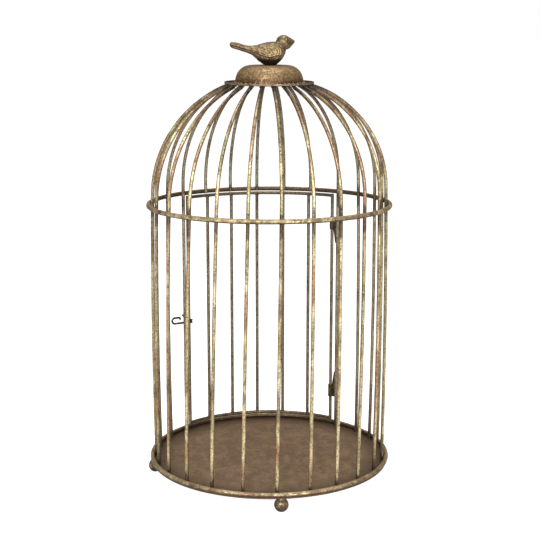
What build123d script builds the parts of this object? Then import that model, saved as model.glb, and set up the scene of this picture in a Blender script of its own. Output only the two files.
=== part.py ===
from build123d import *

import math
import os

# A wire birdcage that holds wedding cards. Millimetres, +Z up, origin on the table
# under the cage's axis. The front is at -Y and the door is at the back, at +Y.
# Angles run round the cage from the front (0) through +X (90) to the back (180).

# Wires
RING_WIRE_R = 2.4          # hoop and base ring
BAR_WIRE_R = 1.8           # cage bars and door
LATCH_WIRE_R = 1.2
WELD_SINK = 0.05           # how far one wire sinks into the next where they are welded
BUTT_SINK = 0.15           # the same, where a wire's end is welded
SEAM_SINK = 0.01           # the same, where a weld runs along a whole edge

# Cage
CAGE_R = 125.4             # outside of the hoop
BAR_COUNT = 24
BAR_PITCH = 360 / BAR_COUNT
HOOP_Z = 284.0
BOW = 1.4                  # the bars stand out this much at the middle of their height
SHOULDER_Z = 294.5         # where the bars start to bend into the dome
SHOULDER_IN = 0.2          # how far the bow has drawn the bars in by the shoulder
SHOULDER_LIFT = 11.0       # the bars on the +X side bend this much higher up
BAR_TOP_R = 42.5
BAR_TOP_DROP = 1.5         # a bar's middle ends this far under the cap plate
TWIST = -2.0               # degrees that the bars' feet are turned against the hoop
SWAY = 1.8                 # degrees that the twist varies by, twice round the cage
BAR_SHIFT = {              # bars bent out of line: degrees added at the shoulder and at the foot
    2: (-0.8, -1.5),
    3: (0.0, -2.9),
    4: (0.0, -2.4),
    6: (5.0, 8.0),
    7: (0.0, 5.0),
    8: (0.5, 3.5),
}
HINGE_POST = 9
LATCH_POST = 15
LATCH_POST_LEAN = 1.2      # degrees that the latch post stands past its even place

# Base
BASE_R = 126.0             # outside of the base ring
PAN_BOTTOM_Z = 14.0
PAN_T = 1.4
PAN_R = 124.4
FOOT_R = 7.1
FOOT_CIRCLE_R = 121.0
FEET = {"front": 0, "right": 90, "back": 180, "left": 270}

# Cap
CAP_Z = 404.9              # underside of the cap plate
CAP_R = 45.0
CAP_T = 1.2
CAP_LIP_H = 2.3
CAP_TILT = 1.1             # degrees that the cap, with its bird, leans to the front
DOME_FOOT_R = 34.8
DOME_SIDE_R = 33.6         # where the dome's side ends and its shoulder starts
DOME_SIDE_H = 5.4
DOME_TOP_R = 19.0          # flat part of the dome's top
CAP_TOP_Z = 423.5

# Bird: at each place along X, the middle height over the cap, half height, half width
BIRD_SECTIONS = [
    (-39.0, 20.6, 1.8, 2.0),
    (-34.0, 19.3, 3.4, 3.6),
    (-23.0, 15.8, 3.6, 4.0),
    (-14.0, 13.3, 6.2, 6.5),
    (-5.0, 10.9, 11.0, 9.6),
    (4.0, 11.5, 12.2, 10.2),
    (10.0, 15.6, 12.0, 9.0),
    (14.5, 19.6, 9.4, 7.8),
    (18.5, 22.3, 6.6, 5.6),
    (22.0, 22.8, 3.4, 2.8),
    (25.5, 23.1, 0.6, 0.6),
]
SCREW_R = 2.0
SCREW_HEAD_R = 3.6
SCREW_HEAD_H = 2.4
SCREW_GRIP = 8.0           # length of screw inside the bird
THREAD_GAP = 0.02
HOLE_GAP = 0.15            # round the screw, in the cap dome

# Door
HINGE_STILE = 138.6
LATCH_STILE = 223.1
DOOR_MIDDLE = 181.2
DOOR_BARS = 5
DOOR_BAR_PITCH = 14.2
DOOR_BOTTOM_Z = 23.5
DOOR_TOP_Z = 279.6

# Wires of the dome over the doorway
DOME_WIRES = 5
DOME_WIRE_PITCH = 14.7
DOME_WIRE_END_Z = 282.3

# Hinges
HINGE_GAP = 0.05           # running clearance round the stile
SHEET_T = 1.0
KNUCKLE_H = 14.0
KNUCKLE_WALL = 0.9
LEAF_RUN = 15.0            # how far the leaf runs on along the post
LEAF_TIP_W = 1.2
HINGE_LOWER_Z = 49.5
HINGE_UPPER_Z = 256.0

# Latch
LATCH_Z = 139.5
LATCH_PITCH = 2.5
WRAP_OVERLAP = 0.6         # how far the arm and the tail run back into the wrap
LATCH_TURNS = 1.75
ARM_ANGLE = 20.0           # degrees that the arm points out from the cage's side
ARM_LENGTH = 15.8
CURL_R = 3.2
CURL_BACK = 4.8            # length of the curl's upper side
TIP_R = 1.6
TIP_LENGTH = 1.0
TAIL_BEND_R = 3.4
TAIL_LEAN = 0.7            # how far the tail leans along the arm for each 1 that it rises
TAIL_LENGTH = 2.6

PAN_TOP_Z = PAN_BOTTOM_Z + PAN_T
RING_Z = PAN_TOP_Z + RING_WIRE_R - SEAM_SINK
FOOT_CENTRE_Z = PAN_BOTTOM_Z + WELD_SINK - FOOT_R
WELD_IN = 2 * RING_WIRE_R + BAR_WIRE_R - WELD_SINK
BAR_R = CAGE_R - WELD_IN
BAR_FOOT_R = BASE_R - WELD_IN


def around(angle, radius, height):
    """A point at that angle round the cage."""
    turn = math.radians(angle)
    return Vector(radius * math.sin(turn), -radius * math.cos(turn), height)


def wire(path, radius):
    """A round wire along a path."""
    return sweep(Plane(path @ 0, z_dir=path % 0) * Circle(radius), path=path)


def rod(bottom, top, radius):
    """A straight round wire between two points."""
    return wire(Line(bottom, top), radius)


def dome_arc(upright, angle):
    """The bend of a bar from its shoulder to the underside of the tilted cap plate."""
    drop = BAR_TOP_R * math.cos(math.radians(angle)) * math.tan(math.radians(CAP_TILT))
    top = around(angle, BAR_TOP_R, CAP_Z - drop - BAR_TOP_DROP)
    return TangentArc(upright @ 1, top, tangent=upright % 1)


def shoulder_point(angle, radius):
    lift = SHOULDER_LIFT * max(0, math.sin(math.radians(angle))) ** 2
    return around(angle, radius, SHOULDER_Z + lift)


def cage_bar(number):
    """A bowed bar that leans round the cage, from the pan to the cap."""
    even = number * BAR_PITCH
    shoulder_shift, foot_shift = BAR_SHIFT.get(number, (0, 0))
    angle = even + shoulder_shift
    foot_angle = even + TWIST + SWAY * math.sin(math.radians(2 * even)) + foot_shift
    foot = around(foot_angle, BAR_FOOT_R, PAN_TOP_Z - WELD_SINK)
    shoulder = shoulder_point(angle, BAR_R - SHOULDER_IN)
    middle = (foot + shoulder) / 2 + around((angle + foot_angle) / 2, BOW, 0)
    upright = ThreePointArc(foot, middle, shoulder)
    return wire(upright + dome_arc(upright, angle), BAR_WIRE_R)


def upright_bar(angle, foot_z):
    """A bar that stands straight up from that height: a door post, or a wire over the doorway."""
    upright = Line(around(angle, BAR_R, foot_z), shoulder_point(angle, BAR_R))
    return wire(upright + dome_arc(upright, angle), BAR_WIRE_R)


def ring(outside, height):
    return Pos(0, 0, height) * Torus(outside - RING_WIRE_R, RING_WIRE_R)


def base_pan():
    """A round sheet under the base ring."""
    return Pos(0, 0, PAN_BOTTOM_Z) * Cylinder(PAN_R, PAN_T, align=(Align.CENTER, Align.CENTER, Align.MIN))


def foot(angle):
    """A ball under the pan, with a small flat ground on its bottom."""
    ball = Pos(around(angle, FOOT_CIRCLE_R, FOOT_CENTRE_Z)) * Sphere(FOOT_R)
    return split(ball, bisect_by=Plane.XY, keep=Keep.TOP)


def cap_plate():
    """A shallow dish: a round plate with an upturned lip."""
    corner = CAP_T / 2
    top = CAP_Z + CAP_LIP_H
    outline = Polyline(
        (0, CAP_Z),
        (CAP_R - corner, CAP_Z),
        (CAP_R, CAP_Z + corner),
        (CAP_R, top),
        (CAP_R - CAP_T, top),
        (CAP_R - CAP_T, CAP_Z + CAP_T),
        (0, CAP_Z + CAP_T),
        close=True,
    )
    return revolve(Plane.XZ * make_face(outline), axis=Axis.Z)


def dome_body(inset):
    """The pressed dome as a full solid, its outside drawn in by the inset."""
    base = CAP_Z + CAP_T
    side = Line((DOME_FOOT_R - inset, base), (DOME_SIDE_R - inset, base + DOME_SIDE_H))
    shoulder = TangentArc(side @ 1, (DOME_TOP_R, CAP_TOP_Z - inset), tangent=side % 1)
    close = Polyline(shoulder @ 1, (0, CAP_TOP_Z - inset), (0, base), side @ 0)
    return revolve(Plane.XZ * make_face(side + shoulder + close), axis=Axis.Z)


def cap_dome():
    hole = Pos(0, 0, CAP_TOP_Z) * Cylinder(SCREW_R + HOLE_GAP, 4 * CAP_T)
    return dome_body(0) - dome_body(CAP_T) - hole


def bird_screw():
    under = CAP_TOP_Z - CAP_T
    low = (Align.CENTER, Align.CENTER, Align.MIN)
    high = (Align.CENTER, Align.CENTER, Align.MAX)
    shank = Pos(0, 0, under) * Cylinder(SCREW_R, CAP_T + SCREW_GRIP, align=low)
    head = Pos(0, 0, under) * Cylinder(SCREW_HEAD_R, SCREW_HEAD_H, align=high)
    return shank + head


def bird():
    """A small perching bird, facing +X, sat on its belly."""
    sections = [
        Pos(x, 0, CAP_TOP_Z + middle) * (Plane.YZ * Ellipse(half_width, half_height))
        for x, middle, half_height, half_width in BIRD_SECTIONS
    ]
    body = split(loft(sections), bisect_by=Plane((0, 0, CAP_TOP_Z)), keep=Keep.TOP)
    hole_depth = SCREW_GRIP + 1
    hole = Cylinder(SCREW_R + THREAD_GAP, 2 * hole_depth)
    return body - Pos(0, 0, CAP_TOP_Z) * hole


def on_cap(shape):
    """A piece of the cap, tilted with it."""
    return Pos(0, 0, CAP_Z) * Rot(CAP_TILT, 0, 0) * Pos(0, 0, -CAP_Z) * shape


def spread(count, pitch):
    """That many angles, a pitch apart, with the door's middle at their middle."""
    return [DOOR_MIDDLE + (index - (count - 1) / 2) * pitch for index in range(count)]


def door_rail(height):
    """A curved rail between the two stiles."""
    cover = math.degrees(BAR_WIRE_R / BAR_R) - math.degrees(BUTT_SINK / BAR_R)
    start = HINGE_STILE + cover
    end = LATCH_STILE - cover
    middle = (start + end) / 2
    points = [around(angle, BAR_R, height) for angle in (start, middle, end)]
    return wire(ThreePointArc(*points), BAR_WIRE_R)


def door_upright(angle, over_rails):
    """A straight wire of the door. A stile covers the rails' ends, and a bar stands between them."""
    reach = BAR_WIRE_R if over_rails else BUTT_SINK - BAR_WIRE_R
    bottom = around(angle, BAR_R, DOOR_BOTTOM_Z - reach)
    top = around(angle, BAR_R, DOOR_TOP_Z + reach)
    return rod(bottom, top, BAR_WIRE_R)


def hinge(end_z, up):
    """A leaf welded to the hinge post and rolled round the stile.

    It starts at end_z, and up is 1 where it runs upwards from there, -1 where it runs down.
    """
    stile = around(HINGE_STILE, BAR_R, end_z)
    post = around(HINGE_POST * BAR_PITCH, BAR_R, end_z)
    frame = Plane(stile, x_dir=post - stile, z_dir=(post - stile).cross(Vector(0, 0, up)))
    outer = BAR_WIRE_R + HINGE_GAP + KNUCKLE_WALL
    edge = (post - stile).length - BAR_WIRE_R + SEAM_SINK
    root = BAR_WIRE_R + HINGE_GAP + KNUCKLE_WALL / 2
    outline = Polyline(
        (root, 0),
        (edge, 0),
        (edge, KNUCKLE_H + LEAF_RUN),
        (edge - LEAF_TIP_W, KNUCKLE_H + LEAF_RUN),
        (root, KNUCKLE_H),
        close=True,
    )
    leaf = extrude(frame * make_face(outline), SHEET_T / 2, both=True)
    tube = Cylinder(outer, KNUCKLE_H) - Cylinder(BAR_WIRE_R + HINGE_GAP, 2 * KNUCKLE_H)
    return leaf + Pos(stile + Vector(0, 0, up * KNUCKLE_H / 2)) * tube


def latch():
    """A wire wound round the latch stile, with a short tail and an arm that ends in a curl."""
    stile = around(LATCH_STILE, BAR_R, LATCH_Z)
    turn = math.radians(LATCH_STILE)
    along = Vector(math.cos(turn), math.sin(turn), 0).rotate(Axis.Z, -ARM_ANGLE)
    out = along.rotate(Axis.Z, -90)
    up = Vector(0, 0, 1)
    wrap_r = BAR_WIRE_R + HINGE_GAP + LATCH_WIRE_R
    wrap_h = LATCH_TURNS * LATCH_PITCH
    wrap = wire(Helix(LATCH_PITCH, wrap_h, wrap_r, lefthand=True), LATCH_WIRE_R)
    wrap = Plane(stile, x_dir=out, z_dir=up) * wrap

    start = stile + out * wrap_r - along * WRAP_OVERLAP
    bend = start + along * (ARM_LENGTH + WRAP_OVERLAP)
    arm = Line(start, bend)
    curl = TangentArc(bend, bend + up * 2 * CURL_R, tangent=along)
    back = Line(curl @ 1, (curl @ 1) - along * CURL_BACK)
    tip = TangentArc(back @ 1, (back @ 1) - along * TIP_R - up * TIP_R, tangent=along * -1)
    end = Line(tip @ 1, (tip @ 1) - up * TIP_LENGTH)
    hook = wire(arm + curl + back + tip + end, LATCH_WIRE_R)

    foot = stile + along * wrap_r + up * wrap_h - out * WRAP_OVERLAP
    leaning = (up + along * TAIL_LEAN).normalized()
    rise = foot + (out + leaning) * TAIL_BEND_R
    bend_up = TangentArc(foot, rise, tangent=out)
    tail = wire(bend_up + Line(rise, rise + leaning * TAIL_LENGTH), LATCH_WIRE_R)
    return wrap + hook + tail


def build():
    """Every node of the cage by name."""
    nodes = {
        "base_ring": ring(BASE_R, RING_Z),
        "base_pan": base_pan(),
        "mid_hoop": ring(CAGE_R, HOOP_Z),
        "cap_plate": on_cap(cap_plate()),
        "cap_dome": on_cap(cap_dome()),
        "bird": on_cap(bird()),
        "bird_screw": on_cap(bird_screw()),
        "hinge_lower": hinge(HINGE_LOWER_Z, 1),
        "hinge_upper": hinge(HINGE_UPPER_Z, -1),
        "door_latch": latch(),
        "door_top_rail": door_rail(DOOR_TOP_Z),
        "door_bottom_rail": door_rail(DOOR_BOTTOM_Z),
        "door_hinge_stile": door_upright(HINGE_STILE, True),
        "door_latch_stile": door_upright(LATCH_STILE, True),
    }
    for side, angle in FEET.items():
        nodes[f"foot_{side}"] = foot(angle)
    for index, angle in enumerate(spread(DOOR_BARS, DOOR_BAR_PITCH), 1):
        nodes[f"door_bar_{index}"] = door_upright(angle, False)
    for index, angle in enumerate(spread(DOME_WIRES, DOME_WIRE_PITCH), 1):
        nodes[f"dome_wire_{index}"] = upright_bar(angle, DOME_WIRE_END_Z)
    nodes["hinge_post"] = upright_bar(HINGE_POST * BAR_PITCH, PAN_TOP_Z - WELD_SINK)
    nodes["latch_post"] = upright_bar(LATCH_POST * BAR_PITCH + LATCH_POST_LEAN, PAN_TOP_Z - WELD_SINK)
    for number in range(BAR_COUNT):
        if not HINGE_POST <= number <= LATCH_POST:
            nodes[f"cage_bar_{number:02d}"] = cage_bar(number)
    return nodes


os.makedirs("parts", exist_ok=True)
for name, shape in build().items():
    shape.label = name
    export_step(shape, f"parts/{name}.step")
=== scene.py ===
"""The looks of the birdcage card holder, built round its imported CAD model. Metres, +Z up."""

import math

import bmesh
import bpy
import numpy as np
from mathutils import Matrix, Vector, noise


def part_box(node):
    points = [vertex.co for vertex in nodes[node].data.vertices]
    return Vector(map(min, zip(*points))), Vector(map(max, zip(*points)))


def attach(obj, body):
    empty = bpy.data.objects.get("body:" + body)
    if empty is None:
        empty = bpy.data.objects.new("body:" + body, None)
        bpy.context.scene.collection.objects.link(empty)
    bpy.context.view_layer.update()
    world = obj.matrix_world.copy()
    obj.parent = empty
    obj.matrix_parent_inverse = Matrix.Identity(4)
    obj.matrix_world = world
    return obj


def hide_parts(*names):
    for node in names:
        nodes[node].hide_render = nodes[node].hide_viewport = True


MM = 0.001

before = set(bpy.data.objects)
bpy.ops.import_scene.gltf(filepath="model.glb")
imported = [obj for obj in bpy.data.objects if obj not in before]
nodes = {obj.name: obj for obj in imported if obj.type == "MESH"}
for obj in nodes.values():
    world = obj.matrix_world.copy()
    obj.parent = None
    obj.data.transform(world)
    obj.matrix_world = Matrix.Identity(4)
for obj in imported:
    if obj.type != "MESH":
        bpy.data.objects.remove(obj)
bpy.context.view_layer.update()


# ---------------------------------------------------------------- measures read from the frame
END_SLICE = 0.3 * MM  # vertices this close to a wire's lowest point are its end
EDGE_SLICE = 1 * MM  # the same for the cap plate's front and back edges
HOLE_REACH = 4 * MM  # the screw hole's rim lies within this distance of the axis
LIP_SHIFT = 1.15 * MM  # the middle of the cap plate's box lies this far over its sheet
X, Y, Z = 0, 1, 2


def box_centre(name):
    low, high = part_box(name)
    return (low + high) / 2


def half_size(name, axis):
    low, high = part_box(name)
    return (high[axis] - low[axis]) / 2


def ring_measures(name):
    """Radius of a ring's centre line, its wire's radius and its height."""
    low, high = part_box(name)
    wire = half_size(name, Z)
    return half_size(name, X) - wire, wire, (high.z + low.z) / 2


HOOP_R, HOOP_WIRE, HOOP_Z = ring_measures("mid_hoop")
RING_R, RING_WIRE, RING_Z = ring_measures("base_ring")
PAN_R, _, _ = ring_measures("base_pan")
PAN_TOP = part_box("base_pan")[1].z
PLATE_R = half_size("cap_plate", X)
PLATE_Z, PLATE_LIP_Z = (corner.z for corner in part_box("cap_plate"))
PLATE_MIDDLE = (PLATE_Z + PLATE_LIP_Z) / 2 - LIP_SHIFT
DOME_FOOT_R = half_size("cap_dome", X)
BAR_WIRE = half_size("door_top_rail", Z)
STANDING = [n for n in nodes if n.startswith("cage_bar") or n.endswith("_post")]
DOME_WIRES = [n for n in nodes if n.startswith("dome_wire")]
DOOR_BARS = [n for n in nodes if n.startswith("door_bar")]
DOOR_STILES = ["door_hinge_stile", "door_latch_stile"]
DOOR_RAILS = ["door_top_rail", "door_bottom_rail"]
HINGES = ["hinge_lower", "hinge_upper"]
FEET = [n for n in nodes if n.startswith("foot_")]


def points_of(name):
    return np.array([v.co for v in nodes[name].data.vertices])


def end_centre(name, above=-1.0):
    """Centre of the lowest ring of a wire's vertices over that height."""
    co = points_of(name)
    co = co[co[:, Z] > above]
    ring = co[co[:, Z] < co[:, Z].min() + END_SLICE]
    return Vector((ring.min(0) + ring.max(0)) / 2)


def cap_lean():
    """The angle that the cap leans to the front, from its plate's front and back edges."""
    co = points_of("cap_plate")
    front = co[co[:, Y] < co[:, Y].min() + EDGE_SLICE].mean(0)
    back = co[co[:, Y] > co[:, Y].max() - EDGE_SLICE].mean(0)
    return math.atan2(back[Z] - front[Z], back[Y] - front[Y])


def screw_hole():
    """Centre of the hole's rim on top of the cap dome, where the bird sits."""
    co = points_of("cap_dome")
    rim = co[np.hypot(co[:, X], co[:, Y]) < HOLE_REACH]
    return Vector(rim[rim[:, Z] > rim[:, Z].mean()].mean(0))


CAP_TURN = Matrix.Rotation(cap_lean(), 3, "X")
DOME_TOP = screw_hole()


# ---------------------------------------------------------------- node helpers
class Graph:
    """A short way to write a material's nodes."""

    def __init__(self, name):
        self.material = bpy.data.materials.new(name)
        self.material.use_nodes = True
        self.tree = self.material.node_tree
        self.shader = self.tree.nodes["Principled BSDF"]
        coordinates = self.tree.nodes.new("ShaderNodeTexCoord")
        self.place = coordinates.outputs["Object"]
        self.normal = coordinates.outputs["Normal"]

    def give(self, socket, value):
        """Link another node's output to the socket, or set the socket's own value."""
        if isinstance(value, bpy.types.NodeSocket):
            self.tree.links.new(value, socket)
        else:
            socket.default_value = value

    def set(self, socket, value):
        self.give(self.shader.inputs[socket], value)

    def add(self, kind, inputs=None, **settings):
        node = self.tree.nodes.new(kind)
        for key, value in settings.items():
            setattr(node, key, value)
        for key, value in (inputs or {}).items():
            self.give(node.inputs[key], value)
        return node

    def scaled(self, factors):
        return self.add("ShaderNodeMapping", {"Vector": self.place, "Scale": factors}).outputs[0]

    def noise(self, place, scale, detail, rough, distort=0.0):
        """Noise of that many lumps to the metre."""
        values = {"Vector": place, "Scale": scale, "Detail": detail, "Roughness": rough,
                  "Distortion": distort}
        return self.add("ShaderNodeTexNoise", values).outputs["Fac"]

    def ramp(self, value, low, high, start=0.0, end=1.0):
        """The value taken from low..high to start..end, smoothly, and held beyond."""
        values = {"Value": value, "From Min": low, "From Max": high, "To Min": start, "To Max": end}
        return self.add("ShaderNodeMapRange", values, interpolation_type="SMOOTHSTEP").outputs[0]

    def fall(self, value, low, high):
        """1 up to low, and 0 from high."""
        return self.ramp(value, low, high, 1.0, 0.0)

    def band(self, value, low, high, soft):
        """1 where the value lies in low..high, fading to 0 over soft on both sides."""
        return self.math("MULTIPLY", self.ramp(value, low - soft, low),
                         self.fall(value, high, high + soft))

    def ragged(self, value, pattern, reach):
        """The value moved up and down by the pattern, by up to reach."""
        return self.math("ADD", value, self.ramp(pattern, 0.3, 0.7, -reach, reach))

    def mix(self, share, first, second):
        """A blend of two colours, which are the Mix node's inputs 6 and 7 and its output 2."""
        node = self.add("ShaderNodeMix", data_type="RGBA")
        for index, value in ((0, share), (6, first), (7, second)):
            self.give(node.inputs[index], (*value, 1.0) if isinstance(value, tuple) else value)
        return node.outputs[2]

    def stain(self, base, mask, share, colour):
        """The base with the colour over it, as strong as share where the mask is 1."""
        return self.mix(self.math("MULTIPLY", mask, share), base, colour)

    def math(self, operation, first, second):
        return self.add("ShaderNodeMath", {0: first, 1: second}, operation=operation).outputs[0]

    def vector(self, operation, first, second=(0, 0, 0)):
        return self.add("ShaderNodeVectorMath", {0: first, 1: second}, operation=operation)

    def height(self):
        return self.add("ShaderNodeSeparateXYZ", {0: self.place}).outputs["Z"]

    def facing_up(self):
        """1 where the surface faces up, -1 where it faces down."""
        return self.add("ShaderNodeSeparateXYZ", {0: self.normal}).outputs["Z"]

    def level(self):
        """The place with its height taken away."""
        return self.vector("MULTIPLY", self.place, (1, 1, 0)).outputs[0]

    def radius(self):
        """Distance from the cage's axis."""
        return self.vector("LENGTH", self.level()).outputs["Value"]

    def outward(self):
        """1 where the surface faces away from the cage's axis, -1 where it faces the axis."""
        radial = self.vector("NORMALIZE", self.level()).outputs[0]
        return self.vector("DOT_PRODUCT", self.normal, radial).outputs["Value"]

    def bump(self, height, strength, distance, under=None):
        values = {"Height": height, "Strength": strength, "Distance": distance}
        if under is not None:
            values["Normal"] = under
        return self.add("ShaderNodeBump", values).outputs[0]


def tone(red, green, blue):
    """A colour from its screen values, 0 to 255, as linear light."""
    return tuple(((c / 255 + 0.055) / 1.055) ** 2.4 if c > 10 else c / 255 / 12.92
                 for c in (red, green, blue))


# ---------------------------------------------------------------- tones and patterns of the metal
STRAW = tone(230, 212, 163)
ROSE = tone(186, 148, 112)
OLIVE = tone(174, 162, 116)
COPPER = tone(150, 104, 74)
BRONZE = tone(150, 126, 94)
PALE = tone(236, 220, 180)
PATINA = tone(50, 38, 28)
SOOT = tone(22, 15, 10)
HOLLOW_AND_BELLY_SHADE = tone(34, 25, 18)

# Lumps to the metre
PITS = 560
TINTS = 34
WIRE_BLOTCHES = 170
STAINS = 95
FLAKES = 330
RUST_PATCHES = 70
PATCH_SHARE = 0.35  # scale of a mottled piece's patches against its blotches

ALONG_WIRE = (1, 1, 0.4)  # patterns on the upright wires are drawn out along them
TINTS_ALONG = (1, 1, 0.35)

FINE_RELIEF = 0.2 * MM
COARSE_RELIEF = 0.5 * MM


def speckled(g, base, fleck, patina=PATINA):
    """Dark pits and small bright rubs over a colour. Gives the colour and the noise behind it."""
    specks = g.noise(g.place, PITS, 3, 0.65)
    dark = g.fall(specks, 0.70 - 0.10 * fleck, 0.58 - 0.10 * fleck)
    base = g.stain(base, dark, 0.64, patina)
    return g.stain(base, g.ramp(specks, 0.39, 0.30), 0.5, PALE), specks


def wire_colour(g, place, inside, fleck, flank_shade=0.42):
    """Rubbed gold on the outward side, in tints that drift along the wire, painted shade on its
    flanks, and dull inside.
    """
    tint = g.noise(g.scaled(TINTS_ALONG), TINTS, 2, 0.5, 0.6)
    gold = g.mix(g.ramp(tint, 0.40, 0.50), ROSE, STRAW)
    gold = g.mix(g.ramp(tint, 0.52, 0.62), gold, OLIVE)
    blotches = g.noise(place, WIRE_BLOTCHES, 4, 0.65, 0.3)
    rubbed = g.ramp(blotches, 0.40, 0.58)
    gold = g.mix(rubbed, g.mix(0.45, gold, BRONZE), gold)
    stained = g.ramp(g.noise(place, STAINS, 4, 0.7), 0.50, 0.62)
    gold = g.stain(gold, stained, 0.56, tone(102, 78, 54))
    dull = g.stain(inside, stained, 0.75, tone(92, 80, 62))
    wobble = g.ragged(g.outward(), blotches, 0.25)
    # Painted shade on the wire's flanks, the sides that face neither out nor in
    gold = g.stain(gold, g.band(wobble, -0.30, 0.38, 0.30), flank_shade, tone(112, 86, 62))
    turned = g.ramp(wobble, -0.75, -0.1)
    base, specks = speckled(g, g.mix(turned, dull, gold), fleck)
    return base, rubbed, blotches, specks


def finish_metal(g, base, shine, coarse, fine, metal=0.6, rough=(0.36, 0.58), grain=0.3):
    """Set the shader's sockets: smooth where the shine is, and rough elsewhere."""
    g.set("Base Color", base)
    g.set("Metallic", metal)
    g.set("Roughness", g.ramp(shine, 0.0, 1.0, rough[1], rough[0]))
    normal = g.bump(fine, grain, FINE_RELIEF)
    g.set("Normal", g.bump(coarse, grain * 0.8, COARSE_RELIEF, normal))
    return g.material


def bar_material():
    """Wire with dark patina where it meets the pan, the hoop and the cap, and painted shadow under
    the plate.
    """
    g = Graph("bar_wire_gold")
    place = g.scaled(ALONG_WIRE)
    base, rubbed, blotches, specks = wire_colour(g, place, tone(154, 146, 122), 0.75)
    rise = g.ragged(g.height(), blotches, 5 * MM)
    # The bars darken towards the pan
    darker_near_pan = g.fall(rise, PAN_TOP + 6 * MM, PAN_TOP + 34 * MM)
    base = g.stain(base, darker_near_pan, 0.45, tone(90, 68, 48))
    foot = g.fall(rise, PAN_TOP + 5 * MM, PAN_TOP + 14 * MM)
    base = g.stain(base, foot, 0.88, PATINA)
    low = g.fall(rise, PAN_TOP, PAN_TOP + 90 * MM)
    inner = g.ramp(g.outward(), 0.3, -0.3)
    base = g.stain(base, g.math("MULTIPLY", low, inner), 0.5, tone(84, 76, 64))
    smudge = g.ragged(g.height(), blotches, 9 * MM)
    crossing = g.band(smudge, HOOP_Z - 12 * MM, HOOP_Z + 2 * MM, 6 * MM)
    base = g.stain(base, crossing, 0.78, tone(62, 44, 30))
    top = g.ramp(rise, PLATE_Z - 46 * MM, PLATE_Z - 5 * MM)
    base = g.stain(base, top, 0.68, tone(84, 60, 42))
    # Painted shadow of the cap plate over the bars' upper ends, with some weld burn
    end = g.ramp(rise, PLATE_Z - 9 * MM, PLATE_Z - 3 * MM)
    base = g.stain(base, end, 0.85, tone(34, 26, 19))
    return finish_metal(g, base, rubbed, blotches, specks)


def ring_material():
    """Wire with a painted highlight on top, painted shade underneath, and browner painted shade on
    the base ring's low side.
    """
    g = Graph("ring_wire_gold")
    base, rubbed, blotches, specks = wire_colour(g, g.place, tone(86, 71, 54), 0.6, 0.15)
    flakes = g.ramp(g.noise(g.place, FLAKES, 3, 0.6), 0.52, 0.62)
    base = g.stain(base, flakes, 0.5, tone(96, 74, 54))
    rust = g.ramp(g.noise(g.place, RUST_PATCHES, 4, 0.7), 0.50, 0.57)
    base = g.stain(base, rust, 0.6, tone(90, 64, 43))
    facing = g.facing_up()
    # Painted highlight on the upward faces of the rings
    base = g.stain(base, g.ramp(facing, 0.55, 0.95), 0.45, tone(188, 162, 124))
    # Painted shade on the base ring's low side, fading out up to the hoop
    share = g.ramp(g.height(), RING_Z, HOOP_Z, 0.7, 0.0)
    base = g.stain(base, g.ramp(facing, 0.42, -0.10), share, tone(96, 70, 48))
    # Painted shade on the downward faces of both rings
    base = g.stain(base, g.ramp(facing, -0.15, -0.65), 0.8, tone(60, 46, 34))
    return finish_metal(g, base, rubbed, blotches, specks)


def door_material():
    """The door's wire, darker at its two rails."""
    g = Graph("door_wire_gold")
    place = g.scaled(ALONG_WIRE)
    base, rubbed, blotches, specks = wire_colour(g, place, tone(132, 120, 96), 0.9)
    rise = g.ragged(g.height(), blotches, 6 * MM)
    foot = g.fall(rise, PAN_TOP + 4 * MM, PAN_TOP + 22 * MM)
    top = g.ramp(rise, HOOP_Z - 26 * MM, HOOP_Z - 6 * MM)
    base = g.stain(base, g.math("MAXIMUM", foot, top), 0.55, tone(66, 52, 38))
    return finish_metal(g, base, rubbed, blotches, specks)


def mottled(name, light, middle, patina, size, fleck=0.5, metal=0.6, rough=(0.36, 0.56), grain=0.4,
            tint=0.45, shade=None):
    """Paint in soft blotches of two tones with dark pits. shade adds to the colour by place."""
    g = Graph(name)
    blotches = g.noise(g.place, size, 5, 0.66, 0.3)
    patches = g.noise(g.place, size * PATCH_SHARE, 3, 0.6)
    rubbed = g.ramp(blotches, 0.38, 0.62)
    base = g.mix(rubbed, middle, light)
    base = g.stain(base, g.ramp(patches, 0.50, 0.68), tint, OLIVE)
    base = g.stain(base, g.ramp(patches, 0.46, 0.32), tint, COPPER)
    base, specks = speckled(g, base, fleck, patina)
    if shade is not None:
        base = shade(g, base, blotches)
    return finish_metal(g, base, rubbed, blotches, specks, metal, rough, grain)


def foot_material():
    """Ball feet, with painted shade on their lower half."""
    def shade(g, base, blotches):
        # Painted shade on the downward faces of the balls
        return g.stain(base, g.ramp(g.facing_up(), 0.2, -0.5), 0.7, tone(56, 45, 35))
    return mottled("foot_gold", tone(164, 138, 108), tone(96, 77, 60), PATINA, 210, 0.9, shade=shade)


def hinge_material():
    return mottled("hinge_brown", tone(96, 72, 46), tone(50, 38, 26), SOOT, 300, 0.9, tint=0.12)


def latch_material():
    return mottled("latch_olive", tone(96, 92, 62), tone(52, 48, 32), tone(20, 18, 12), 300, 0.8,
                   metal=0.8, rough=(0.24, 0.42))


def weld_material():
    return mottled("weld_brown", tone(104, 80, 56), tone(56, 42, 31), SOOT, 420, 1.0, tint=0.15,
                   rough=(0.4, 0.65), grain=0.7)


def tack_material():
    return mottled("tack_gold", tone(196, 168, 130), tone(140, 108, 80), PATINA, 420, 0.5)


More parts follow.
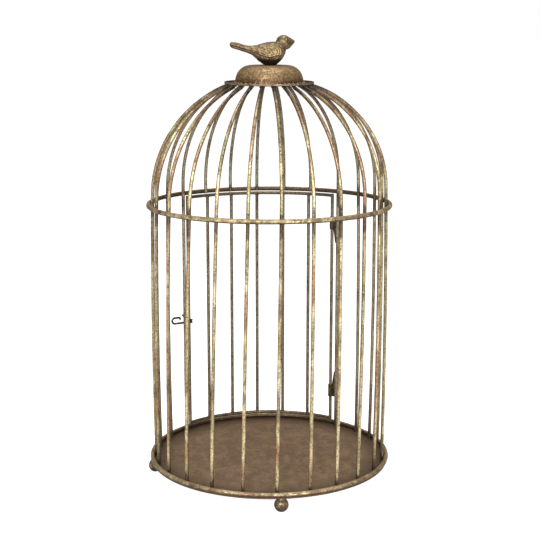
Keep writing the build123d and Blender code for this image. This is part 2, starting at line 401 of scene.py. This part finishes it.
def plate_material():
    """The dish: dark inside, painted shade underneath, and a painted highlight on its lip."""
    def shade(g, base, blotches):
        across = g.ragged(g.radius(), blotches, 1.2 * MM)
        inside = g.ramp(across, PLATE_R - 0.6 * MM, PLATE_R - 1.8 * MM)
        base = g.stain(base, inside, 0.92, tone(46, 33, 25))
        # Painted shade on the plate's underside
        base = g.stain(base, g.ramp(g.facing_up(), -0.4, -0.8), 0.92, tone(36, 28, 21))
        # Painted highlight on the lip's outward face
        lip_highlight = g.math("MULTIPLY", g.ramp(g.outward(), 0.5, 0.9),
                     g.ramp(across, PLATE_R - 1.6 * MM, PLATE_R))
        return g.stain(base, lip_highlight, 0.45, tone(160, 142, 116))
    return mottled("cap_plate_gold", tone(142, 119, 86), tone(100, 82, 60), PATINA, 240, 0.5,
                   shade=shade)


def dome_material():
    """The pressed dome: gold in soft blotches, with red-brown patina round its foot, and painted
    shade on its top.
    """
    def shade(g, base, blotches):
        rise = g.ragged(g.height(), blotches, 1.6 * MM)
        low = g.fall(rise, PLATE_Z + 4.0 * MM, PLATE_Z + 11.0 * MM)
        base = g.stain(base, low, 0.62, tone(98, 69, 45))
        foot = g.fall(rise, PLATE_Z + 2.4 * MM, PLATE_Z + 6.0 * MM)
        base = g.stain(base, foot, 0.8, tone(76, 46, 30))
        # Painted shade on the dome's upward-facing top
        return g.stain(base, g.ramp(g.facing_up(), 0.7, 0.98), 0.3, tone(112, 92, 68))
    return mottled("cap_dome_gold", tone(172, 142, 100), tone(132, 106, 72), tone(72, 52, 35), 260,
                   0.9, rough=(0.44, 0.60), grain=0.5, tint=0.35, shade=shade)


def bird_material():
    """Cast metal: dark in every hollow, painted shade on its belly, and rubbed bright on the
    feathers' edges.
    """
    def shade(g, base, blotches):
        relief_and_shade = g.add("ShaderNodeAttribute", attribute_name="relief_and_belly_shade").outputs["Fac"]
        # Dark patina in the hollows, and painted shade on the belly, both from the same tone value
        base = g.stain(base, g.ramp(relief_and_shade, 0.56, 0.20), 0.93, HOLLOW_AND_BELLY_SHADE)
        return g.stain(base, g.ramp(relief_and_shade, 0.62, 1.05), 0.7, tone(200, 170, 118))
    return mottled("bird_gold", tone(142, 119, 84), tone(100, 82, 58), HOLLOW_AND_BELLY_SHADE, 260, 0.4, tint=0.25,
                   shade=shade)


def pan_material():
    """Brown bronze paint, brushed a little, with faint olive and plum clouds, and painted shadow and
    reflection at its edge.
    """
    g = Graph("pan_sheet_bronze")
    clouds = g.noise(g.scaled((1.1, 0.7, 1)), 95, 5, 0.68)
    base = g.mix(g.ramp(clouds, 0.36, 0.64), tone(134, 108, 83), tone(165, 136, 104))
    plum = g.ramp(g.noise(g.scaled((1.0, 0.7, 1)), 70, 2, 0.5), 0.54, 0.68)
    base = g.stain(base, plum, 0.55, tone(144, 108, 98))
    olive = g.ramp(g.noise(g.scaled((1.3, 0.7, 1)), 55, 2, 0.5), 0.55, 0.70)
    base = g.stain(base, olive, 0.55, tone(136, 122, 84))
    grit = g.noise(g.place, 420, 4, 0.65)
    base = g.mix(g.ramp(grit, 0.52, 0.70, 0.0, 0.5), base, tone(94, 72, 54))
    specks = g.noise(g.place, 700, 2, 0.5)
    base = g.mix(g.ramp(specks, 0.66, 0.74, 0.0, 0.6), base, tone(206, 180, 144))
    across = g.ragged(g.radius(), clouds, 4 * MM)
    # Painted shadow and reflection of the ring and bars, darkening the pan towards its rim
    edge = g.ramp(across, PAN_R - 30 * MM, PAN_R - 2 * MM, 0.0, 0.62)
    g.set("Base Color", g.mix(edge, base, tone(58, 42, 34)))
    g.set("Metallic", 0.55)
    brushed = g.noise(g.scaled((0.12, 1, 1)), 640, 3, 0.6)
    g.set("Roughness", g.ramp(brushed, 0.3, 0.7, 0.48, 0.60))
    dents = g.bump(g.noise(g.place, 18, 2, 0.5), 0.25, 2.0 * MM)
    strokes = g.bump(brushed, 0.07, FINE_RELIEF, dents)
    g.set("Normal", g.bump(grit, 0.25, FINE_RELIEF, strokes))
    return g.material


def screw_material():
    """Zinc-plated steel."""
    g = Graph("screw_zinc")
    wear = g.noise(g.place, 700, 4, 0.6)
    g.set("Base Color", g.mix(g.ramp(wear, 0.35, 0.7), tone(150, 152, 156), tone(196, 197, 200)))
    g.set("Metallic", 1.0)
    g.set("Roughness", g.ramp(wear, 0.3, 0.7, 0.28, 0.5))
    g.set("Normal", g.bump(wear, 0.1, 0.1 * MM))
    return g.material


def put_on(material, *names):
    for name in names:
        data = nodes[name].data
        data.materials.clear()
        data.materials.append(material)


# ---------------------------------------------------------------- mesh helpers
LOFT_SIDES = 40
LOFT_STEPS = 48
BALL_CUTS = 5
SHORT_OF_END = 1e-9  # keeps the last row of a curve inside its last span


def new_mesh(name, build):
    """The build as a mesh. The build is freed."""
    mesh = bpy.data.meshes.new(name)
    build.to_mesh(mesh)
    build.free()
    return mesh


def new_object(name, mesh, material=None):
    piece = bpy.data.objects.new(name, mesh)
    bpy.context.scene.collection.objects.link(piece)
    if material is not None:
        mesh.materials.append(material)
    return piece


def shade_smooth(mesh):
    mesh.polygons.foreach_set("use_smooth", [True] * len(mesh.polygons))


def through(points, count):
    """Rows of numbers, eased through by a Catmull-Rom curve, as count rows."""
    rows = np.array(points, float)
    padded = np.vstack([2 * rows[0] - rows[1], rows, 2 * rows[-1] - rows[-2]])
    made = []
    for step in np.linspace(0, len(rows) - 1 - SHORT_OF_END, count):
        at = int(step)
        t = step - at
        a, b, c, d = padded[at:at + 4]
        made.append(0.5 * (2 * b + (c - a) * t + (2 * a - 5 * b + 4 * c - d) * t ** 2
                           + (3 * b - a - 3 * c + d) * t ** 3))
    return made


def add_loft(build, sections):
    """A closed form through ellipses across X: x, middle height, half height, half width."""
    rings = []
    for x, middle, tall, wide in sections:
        ring = []
        for step in range(LOFT_SIDES):
            angle = 2 * math.pi * step / LOFT_SIDES
            ring.append(build.verts.new((x, wide * math.cos(angle), middle + tall * math.sin(angle))))
        rings.append(ring)
    for one, two in zip(rings, rings[1:]):
        for step in range(LOFT_SIDES):
            after = (step + 1) % LOFT_SIDES
            build.faces.new((one[step], one[after], two[after], two[step]))
    for ring, (x, middle, _, _) in ((rings[0], sections[0]), (rings[-1], sections[-1])):
        tip = build.verts.new((x, 0, middle))
        for step in range(LOFT_SIDES):
            build.faces.new((ring[step], ring[(step + 1) % LOFT_SIDES], tip))


def add_ball(build, centre, radii):
    made = bmesh.ops.create_icosphere(build, subdivisions=BALL_CUTS, radius=1.0)
    for vert in made["verts"]:
        vert.co = Vector(centre) + Vector(radii) * vert.co


# ---------------------------------------------------------------- bird's form
# In millimetres from the top of the cap dome, with the beak towards +X. A row is an ellipse
# across X: its x, middle height, half height and half width.
TAIL = [(-39.6, 20.2, 0.6, 0.8), (-38.6, 20.0, 2.3, 2.6), (-36.4, 19.6, 3.2, 3.6),
        (-31.0, 18.3, 3.5, 4.0), (-25.0, 16.4, 3.5, 4.0), (-19.5, 15.0, 4.1, 4.5),
        (-13.0, 13.6, 5.8, 6.0), (-8.0, 12.6, 5.0, 5.0)]
BODY = [(-20.0, 14.6, 1.0, 1.2), (-17.6, 14.2, 4.0, 4.4), (-14.0, 13.2, 6.2, 6.4),
        (-8.0, 11.5, 9.6, 8.9), (-2.0, 11.0, 11.6, 10.1), (4.0, 11.1, 12.0, 10.4),
        (9.0, 12.1, 10.2, 9.2), (13.0, 13.2, 7.0, 7.2), (15.6, 14.2, 3.6, 4.4),
        (16.6, 14.6, 0.6, 0.8)]
BEAK = [(15.5, 21.6, 6.3, 4.8), (18.6, 21.6, 6.0, 4.1), (20.8, 22.0, 5.0, 3.1),
        (23.3, 22.6, 2.8, 1.9), (25.1, 23.0, 1.2, 0.8), (25.9, 23.3, 0.14, 0.1)]
# Centre and three radii
HEAD = ((14.1, 0, 22.4), (7.5, 6.6, 7.2))
NECK = ((10.0, 0, 18.2), (6.6, 7.2, 6.4))
VOXEL = 0.30
SMOOTHING = 14


def bird_blank():
    """Body, head, beak and tail as overlapping closed forms."""
    build = bmesh.new()
    for sections in (TAIL, BODY, BEAK):
        add_loft(build, through(sections, LOFT_STEPS))
    for centre, radii in (HEAD, NECK):
        add_ball(build, centre, radii)
    bmesh.ops.recalc_face_normals(build, faces=build.faces)
    return new_object("bird_blank", new_mesh("bird_blank", build))


def fused(blank):
    """The forms made one skin, with their meeting lines smoothed."""
    remesh = blank.modifiers.new("fuse", "REMESH")
    remesh.mode = "VOXEL"
    remesh.voxel_size = VOXEL
    smooth = blank.modifiers.new("smooth", "SMOOTH")
    smooth.iterations = SMOOTHING
    smooth.factor = 0.5
    graph = bpy.context.evaluated_depsgraph_get()
    mesh = bpy.data.meshes.new_from_object(blank.evaluated_get(graph))
    bpy.data.objects.remove(blank)
    return mesh


# ---------------------------------------------------------------- bird's relief, in millimetres
# Lines drawn on the bird's side: x, and the value there
WING_HALF = ([-19, -15, -9, -2, 4, 8, 11, 12.2], [0, 1.3, 3.2, 4.9, 5.4, 5.0, 3.2, 0])
WING_MIDDLE = ([-19, -12, 0, 12], [15.6, 14.9, 13.2, 13.6])
WING_EDGE = ([-12, -5, 0, 6.8, 10], [12.0, 9.6, 8.5, 10.6, 13.0])
TAIL_SPINE = ([-39, -36.4, -31, -25, -19.5], [20.8, 20.2, 18.9, 17.0, 15.8])
THINNEST = 1e-3

WING_RISE = 0.45
WING_HEART = (1.6, 13.3)
ARC_START, ARC_PITCH, ARC_RISE = 4.4, 2.3, 0.24
ROW_START, ROW_PITCH, LANE_PITCH = 6.0, 4.0, 3.4
FEATHER_RISE, FEATHER_SINK = 0.66, 0.32
QUILL_DEPTH = 0.60
EDGE_RISE, EDGE_DEPTH, EDGE_GAP, EDGE_WIDTH = 0.60, 0.40, 1.5, 0.9
PLUME_PITCH, PLUME_RISE = 2.4, 0.12
VANE_PITCH, VANE_DEPTH = 2.3, 0.40
SPINE_RISE, SPINE_DEPTH, SPINE_GAP = 0.35, 0.55, 1.7
EYE = (16.6, 25.7)
EYE_RISE, LID_R, LID_DEPTH = 0.30, 1.4, 0.26
MOUTH_X, MOUTH_Z, MOUTH_SLOPE, MOUTH_DEPTH = 18.2, 21.3, 0.24, 0.35
NOSTRIL = (22.3, 23.9)
NOSTRIL_DEPTH = 0.25
COLLAR = (15.2, 22.6)
COLLAR_R, COLLAR_DEPTH = 6.4, 0.16


def ease(value, low, high):
    t = np.clip((value - low) / (high - low), 0, 1)
    return t * t * (3 - 2 * t)


def fade(value, low, high):
    return 1 - ease(value, low, high)


def ridge(distance, width):
    """1 on a line and 0 beyond its width."""
    return ease(1 - np.abs(distance) / width, 0, 1)


def wave(value, pitch):
    return np.cos(2 * math.pi * value / pitch)


def away_from(point, x, z):
    return np.hypot(x - point[0], z - point[1])


def wing_relief(x, z, side):
    """The raised wing with arcs at its shoulder, rows of small feathers, quills and an edge."""
    half = np.interp(x, *WING_HALF)
    over = z - np.interp(x, *WING_MIDDLE)
    across = over / np.maximum(half, THINNEST)
    inside = ease(1.0 - np.abs(across), 0.0, 0.35) * (half > 0.05) * side
    height = WING_RISE * inside

    dx, dz = x - WING_HEART[0], z - WING_HEART[1]
    reach = np.hypot(dx, dz * 1.1)
    front = ease(dx, 0.5, 4.0) * ease(reach, 2.8, 4.0) * fade(reach, 9.4, 11.0)
    height += ARC_RISE * wave(reach - ARC_START, ARC_PITCH) * front * side

    row = (x + 0.75 * over - ROW_START) / ROW_PITCH
    number = np.floor(row)
    along = row - number
    lane = over / LANE_PITCH + np.where(number % 2 == 0, 0.0, 0.5)
    off = lane - np.floor(lane) - 0.5
    tip = along - 0.14 - 1.7 * off ** 2
    feather = ease(tip, -0.08, 0.34) * (1 - 0.6 * along)
    covert = fade(x, 4.0, 7.0) * ease(x, -8.5, -4.5) * inside
    height += (FEATHER_RISE * feather - FEATHER_SINK) * covert

    quill = ridge((across * 1.5 + 0.06 * x) % 1.0 - 0.5, 0.20)
    height -= QUILL_DEPTH * quill * fade(x, -8.0, -4.0) * inside

    edge = z - np.interp(x, *WING_EDGE)
    lower = ease(x, -13, -9) * fade(x, 7, 10) * side
    height += EDGE_RISE * ridge(edge, EDGE_WIDTH) * lower
    height -= EDGE_DEPTH * ridge(edge + EDGE_GAP, EDGE_WIDTH) * lower

    plume = wave(x + 0.55 * (z - 6.0), PLUME_PITCH)
    belly = fade(across, -1.25, -1.0) * ease(z, 1.0, 3.0) * ease(x, -14, -9) * fade(x, 10, 13)
    return height + PLUME_RISE * plume * belly


def tail_relief(x, y, z, side, up):
    """Long vanes on top of the tail, and a raised line along its side."""
    tail = fade(x, -22.0, -17.0)
    vane = ridge(((y + 9) / VANE_PITCH) % 1.0 - 0.5, 0.18)
    spine = z - np.interp(x, *TAIL_SPINE)
    height = -VANE_DEPTH * vane * tail * ease(up, 0.1, 0.5)
    height += SPINE_RISE * ridge(spine, 0.9) * tail * side
    return height - SPINE_DEPTH * ridge(spine + SPINE_GAP, 0.8) * tail * side


def face_relief(x, z, side):
    """Eye with its lid, mouth, nostril and the collar behind the head."""
    eye = away_from(EYE, x, z)
    mouth = z - (MOUTH_Z + MOUTH_SLOPE * (x - MOUTH_X))
    collar = away_from(COLLAR, x, z) - COLLAR_R
    height = EYE_RISE * fade(eye, 0.4, 1.0) * side
    height -= LID_DEPTH * ridge(eye - LID_R, 0.7) * side
    height -= MOUTH_DEPTH * ridge(mouth, 0.6) * ease(x, 17.0, 18.4)
    height -= NOSTRIL_DEPTH * ridge(away_from(NOSTRIL, x, z), 0.5) * side
    return height - COLLAR_DEPTH * ridge(collar, 1.4) * side * fade(x, 11.5, 14.0)


def bird_relief(co, normals):
    """Height that the feathers, eye and beak stand over the smooth skin."""
    x, y, z = co.T
    side = ease(np.abs(normals[:, Y]), 0.15, 0.45)
    return (wing_relief(x, z, side) + tail_relief(x, y, z, side, normals[:, Z])
            + face_relief(x, z, side))


# Cast lumps: where the noise is read from, its size and its height
LUMPS = ((0, 2.6, 0.12), (50, 1.1, 0.05))
RELIEF_SHARE = 0.60  # how far a millimetre of relief, or the painted shade under the belly, moves the tone
BELLY_SHADE_DEPTHS = (-8.5, -1.5)  # depths under the dome's top, negative over it: painted shade darkens the belly here


def grainy(co, size, amount):
    return np.array([noise.noise(Vector(p) / size) for p in co]) * amount


def stand_on_dome(build):
    """Cut the bird flat at its foot, and bring it from millimetres onto the leaning cap."""
    everything = build.verts[:] + build.edges[:] + build.faces[:]
    cut = bmesh.ops.bisect_plane(build, geom=everything, plane_co=(0, 0, 0), plane_no=(0, 0, -1),
                                 clear_outer=True)
    rim = [e for e in cut["geom_cut"] if isinstance(e, bmesh.types.BMEdge)]
    bmesh.ops.holes_fill(build, edges=rim, sides=0)
    bmesh.ops.scale(build, vec=(MM, MM, MM), verts=build.verts)
    bmesh.ops.rotate(build, cent=(0, 0, 0), matrix=CAP_TURN, verts=build.verts)
    bmesh.ops.translate(build, vec=DOME_TOP, verts=build.verts)


def make_bird():
    mesh = fused(bird_blank())
    co = np.empty(len(mesh.vertices) * 3)
    mesh.vertices.foreach_get("co", co)
    co = co.reshape(-1, 3)
    normals = np.array([v.normal for v in mesh.vertices])
    height = bird_relief(co, normals)
    lumps = sum(grainy(co + start, size, amount) for start, size, amount in LUMPS)
    co = co + normals * (height + lumps)[:, None]
    mesh.vertices.foreach_set("co", co.ravel())
    relief_and_belly_shade = mesh.attributes.new("relief_and_belly_shade", "FLOAT", "POINT")
    # Painted shade on the belly, carried in the same value as the relief
    under = ease(-co[:, Z], *BELLY_SHADE_DEPTHS)
    shown = 0.5 + height * RELIEF_SHARE - under * RELIEF_SHARE
    relief_and_belly_shade.data.foreach_set("value", shown.astype(np.float32))

    build = bmesh.new()
    build.from_mesh(mesh)
    stand_on_dome(build)
    build.to_mesh(mesh)
    build.free()
    shade_smooth(mesh)
    bird = new_object("bird_cast", mesh, bird_material())
    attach(bird, "cage")
    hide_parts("bird")


# ---------------------------------------------------------------- welds
# Half sizes of a bead: outward from the axis, across and tall
HOOP_BEAD = (0.8 * MM, 2.2 * MM, 2.3 * MM)
BASE_BEAD = (2.3 * MM, 2.6 * MM, 2.1 * MM)
CAP_BEAD = (2.6 * MM, 2.7 * MM, 1.0 * MM)
DOME_TACK = (0.8 * MM, 1.5 * MM, 0.8 * MM)
DOOR_BEAD = (2.0 * MM, 2.1 * MM, 1.3 * MM)
HINGE_BEAD = (1.0 * MM, 0.8 * MM, 1.9 * MM)
FOOT_BEAD = (3.0 * MM, 3.4 * MM, 1.3 * MM)
RING_BEAD = (RING_WIRE + 0.15 * MM, 1.3 * MM, RING_WIRE + 0.1 * MM)

# How far a bead's centre lies from the wire's end, edge or foot that it holds
BASE_OUT = 0.4 * MM
CAP_IN, CAP_UP = 0.6 * MM, 0.7 * MM
TACK_OUT, TACK_UP = 0.2 * MM, 1.7 * MM
FOOT_OUT, FOOT_DOWN = 1.2 * MM, 0.5 * MM
RING_UP = 0.2 * MM

# A bead's unevenness: its share of the bead's size, its pace over the bead, and the step from
# one bead to the next through the noise
SWELL, SWELL_PACE, SWELL_STEP = 0.22, 1.3, 7.1
RIPPLE, RIPPLE_PACE, RIPPLE_STEP = 0.08, 4.0, 3.7
TACK_UNEVEN, TACK_STEP = 0.3, 1.7

BEAD_CUTS = 3
TACKS = 38
HINGE_TACKS = 5
RING_JOINT_TURN = math.radians(2.5)
CAP_END_SLICE = 1.5 * MM
UP = Vector((0, 0, 1))


def add_bead(build, centre, radii, outward, seed):
    """A lump of weld: an uneven ball, turned so that its first radius lies outward."""
    turn = Vector(outward).to_track_quat("X", "Z").to_matrix()
    made = bmesh.ops.create_icosphere(build, subdivisions=BEAD_CUTS, radius=1.0)
    for vert in made["verts"]:
        spot = vert.co.copy()
        swell = 1 + SWELL * noise.noise(spot * SWELL_PACE + Vector((seed * SWELL_STEP, 0, 0)))
        swell += RIPPLE * noise.noise(spot * RIPPLE_PACE + Vector((0, seed * RIPPLE_STEP, 0)))
        vert.co = Vector(centre) + turn @ (Vector(radii) * spot * swell)


def bead_piece(name, body, beads, material):
    """One piece of many weld beads."""
    build = bmesh.new()
    for seed, (centre, radii, outward) in enumerate(beads):
        add_bead(build, centre, radii, outward, seed)
    mesh = new_mesh(name, build)
    shade_smooth(mesh)
    piece = new_object(name, mesh, material)
    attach(piece, body)


def outward_to(point):
    """The level direction from the axis to a point."""
    return Vector((point.x, point.y, 0)).normalized()


def outward_at(angle):
    """The level direction at an angle from the front."""
    return Vector((math.sin(angle), -math.cos(angle), 0))


def hoop_beads():
    """A lump inside the hoop at every wire that crosses it or ends on it."""
    ways = []
    for name in STANDING:
        foot, shoulder = end_centre(name), end_centre(name, HOOP_Z)
        share = (HOOP_Z - foot.z) / (shoulder.z - foot.z)
        ways.append(outward_to(foot.lerp(shoulder, share)))
    ways += [outward_to(end_centre(name)) for name in DOME_WIRES]
    return [(out * (HOOP_R - HOOP_WIRE) + UP * HOOP_Z, HOOP_BEAD, out) for out in ways]


def base_beads():
    """A lump at the foot of every standing wire."""
    beads = []
    for name in STANDING:
        foot = end_centre(name)
        out = outward_to(foot)
        centre = Vector((foot.x, foot.y, PAN_TOP)) + out * BASE_OUT
        beads.append((centre, BASE_BEAD, out))
    return beads


def cap_beads():
    """A lump under the plate at every bar's end."""
    beads = []
    for name in STANDING + DOME_WIRES:
        co = points_of(name)
        reach = np.hypot(co[:, X], co[:, Y])
        tip = Vector(co[(reach < reach.min() + CAP_END_SLICE) & (co[:, Z] > HOOP_Z)].mean(0))
        out = outward_to(tip)
        beads.append((tip - out * CAP_IN + UP * CAP_UP, CAP_BEAD, out))
    return beads


def dome_tacks():
    """Small tacks of solder round the foot of the cap dome."""
    beads = []
    for step in range(TACKS):
        uneven = TACK_UNEVEN * noise.noise(Vector((step * TACK_STEP, 0, 0)))
        out = outward_at(2 * math.pi * (step + uneven) / TACKS)
        spot = out * (DOME_FOOT_R + TACK_OUT) + UP * TACK_UP
        beads.append((UP * PLATE_MIDDLE + CAP_TURN @ spot, DOME_TACK, out))
    return beads


def door_beads():
    """A lump at each end of the door's bars, and where the rails meet the stiles."""
    beads = []
    for name in DOOR_RAILS:
        height = box_centre(name).z
        inward = 1 if height < HOOP_Z / 2 else -1
        for upright in DOOR_BARS + DOOR_STILES:
            middle = box_centre(upright)
            out = outward_to(middle)
            centre = Vector((middle.x, middle.y, height))
            if upright in DOOR_STILES:
                nearest = DOOR_BARS[-1] if upright == DOOR_STILES[1] else DOOR_BARS[0]
                centre += (outward_to(box_centre(nearest)) - out).normalized() * BAR_WIRE
            else:
                centre += UP * inward * BAR_WIRE
            beads.append((centre, DOOR_BEAD, out))
    return beads


def hinge_beads():
    """A run of small lumps down each hinge leaf's welded edge."""
    foot = end_centre("hinge_post")
    stile = box_centre("door_hinge_stile")
    side = Vector((stile.x - foot.x, stile.y - foot.y, 0)).normalized()
    beads = []
    for name in HINGES:
        low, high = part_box(name)
        for step in range(HINGE_TACKS):
            height = low.z + (high.z - low.z) * (step + 0.5) / HINGE_TACKS
            centre = Vector((foot.x, foot.y, height)) + side * BAR_WIRE
            beads.append((centre, HINGE_BEAD, outward_to(foot)))
    return beads


def foot_beads():
    """A lump between each foot and the pan."""
    beads = []
    for name in FEET:
        middle, top = box_centre(name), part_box(name)[1].z
        out = outward_to(middle)
        centre = Vector((middle.x, middle.y, top - FOOT_DOWN)) + out * FOOT_OUT
        beads.append((centre, FOOT_BEAD, out))
    return beads


def ring_joint():
    """The lump where the base ring's two ends are welded, just beside the front."""
    out = outward_at(RING_JOINT_TURN)
    return [(out * RING_R + UP * (RING_Z + RING_UP), RING_BEAD, out)]


# ---------------------------------------------------------------- studio
WHITE = (1, 1, 1, 1)
FLOOR_GREY = (0.8, 0.8, 0.8, 1)
FLOOR_GLOW = 0.92  # lifts the floor to white for the camera, so that no horizon shows
FLOOR_REACH = 8
FLOOR_DROP = 0.05 * MM
AIR_LIGHT = 0.24
# Place, target, size in metres and power in watts
SOFTBOXES = {"key": ((-0.8, -1.8, 1.3), (0, 0, 0.25), 1.1, 32),
             "fill": ((0.5, -2.0, 0.6), (0, 0, 0.25), 0.9, 20),
             "top": ((0.1, 0.1, 1.9), (0, 0, 0.2), 1.2, 16)}
CAMERA_PLACE = (-0.1151, -1.1932, 0.4509)
CAMERA_TILT, CAMERA_TURN = 78.853, -5.546
CAMERA_LENS, CAMERA_SENSOR = 78.78, 36


def choose(tree, output, first, second):
    """Give the output the first shader for light's rays, and the second for the camera's."""
    pick = tree.nodes.new("ShaderNodeMixShader")
    path = tree.nodes.new("ShaderNodeLightPath")
    tree.links.new(path.outputs["Is Camera Ray"], pick.inputs[0])
    tree.links.new(first.outputs[0], pick.inputs[1])
    tree.links.new(second.outputs[0], pick.inputs[2])
    tree.links.new(pick.outputs[0], output.inputs["Surface"])


def floor():
    g = Graph("studio_floor")
    g.set("Base Color", FLOOR_GREY)
    g.set("Roughness", 0.9)
    glow = g.add("ShaderNodeEmission", {"Color": WHITE, "Strength": FLOOR_GLOW})
    both = g.add("ShaderNodeAddShader", {0: g.shader.outputs[0], 1: glow.outputs[0]})
    choose(g.tree, g.tree.nodes["Material Output"], g.shader, both)
    build = bmesh.new()
    bmesh.ops.create_grid(build, x_segments=1, y_segments=1, size=FLOOR_REACH)
    piece = new_object("floor", new_mesh("floor", build), g.material)
    piece.location.z = -FLOOR_DROP


def softbox(name, place, target, size, power):
    light = bpy.data.lights.new(name, "AREA")
    light.shape = "SQUARE"
    light.size = size
    light.energy = power
    lamp = bpy.data.objects.new(name, light)
    lamp.location = place
    lamp.rotation_euler = (Vector(target) - Vector(place)).to_track_quat("-Z", "Y").to_euler()
    bpy.context.scene.collection.objects.link(lamp)


def studio_air():
    """White to the camera, and a softer grey as light on the cage."""
    world = bpy.data.worlds.new("studio")
    bpy.context.scene.world = world
    world.use_nodes = True
    tree = world.node_tree
    tree.nodes.clear()
    lit = tree.nodes.new("ShaderNodeBackground")
    lit.inputs["Color"].default_value = WHITE
    lit.inputs["Strength"].default_value = AIR_LIGHT
    seen = tree.nodes.new("ShaderNodeBackground")
    seen.inputs["Color"].default_value = WHITE
    choose(tree, tree.nodes.new("ShaderNodeOutputWorld"), lit, seen)


def camera():
    data = bpy.data.cameras.new("camera")
    data.sensor_width = CAMERA_SENSOR
    data.lens = CAMERA_LENS
    eye = bpy.data.objects.new("camera", data)
    eye.location = CAMERA_PLACE
    eye.rotation_euler = (math.radians(CAMERA_TILT), 0, math.radians(CAMERA_TURN))
    bpy.context.scene.collection.objects.link(eye)
    bpy.context.scene.camera = eye


# ---------------------------------------------------------------- the cage
WELD = weld_material()
TACK = tack_material()
put_on(bar_material(), *STANDING, *DOME_WIRES)
put_on(ring_material(), "mid_hoop", "base_ring")
put_on(door_material(), *DOOR_BARS, *DOOR_STILES, *DOOR_RAILS)
put_on(foot_material(), *FEET)
put_on(hinge_material(), *HINGES)
put_on(latch_material(), "door_latch")
put_on(pan_material(), "base_pan")
put_on(plate_material(), "cap_plate")
put_on(dome_material(), "cap_dome")
put_on(screw_material(), "bird_screw")
make_bird()
bead_piece("hoop_welds", "cage", hoop_beads(), WELD)
bead_piece("base_welds", "cage", base_beads(), WELD)
bead_piece("foot_welds", "cage", foot_beads(), TACK)
bead_piece("ring_joint", "cage", ring_joint(), TACK)
bead_piece("cap_welds", "cage", cap_beads(), WELD)
bead_piece("dome_tacks", "cage", dome_tacks(), TACK)
bead_piece("hinge_welds", "cage", hinge_beads(), WELD)
bead_piece("door_welds", "door", door_beads(), WELD)

floor()
studio_air()
for lamp_name, values in SOFTBOXES.items():
    softbox(lamp_name, *values)
camera()
bpy.context.scene.view_settings.view_transform = "Standard"
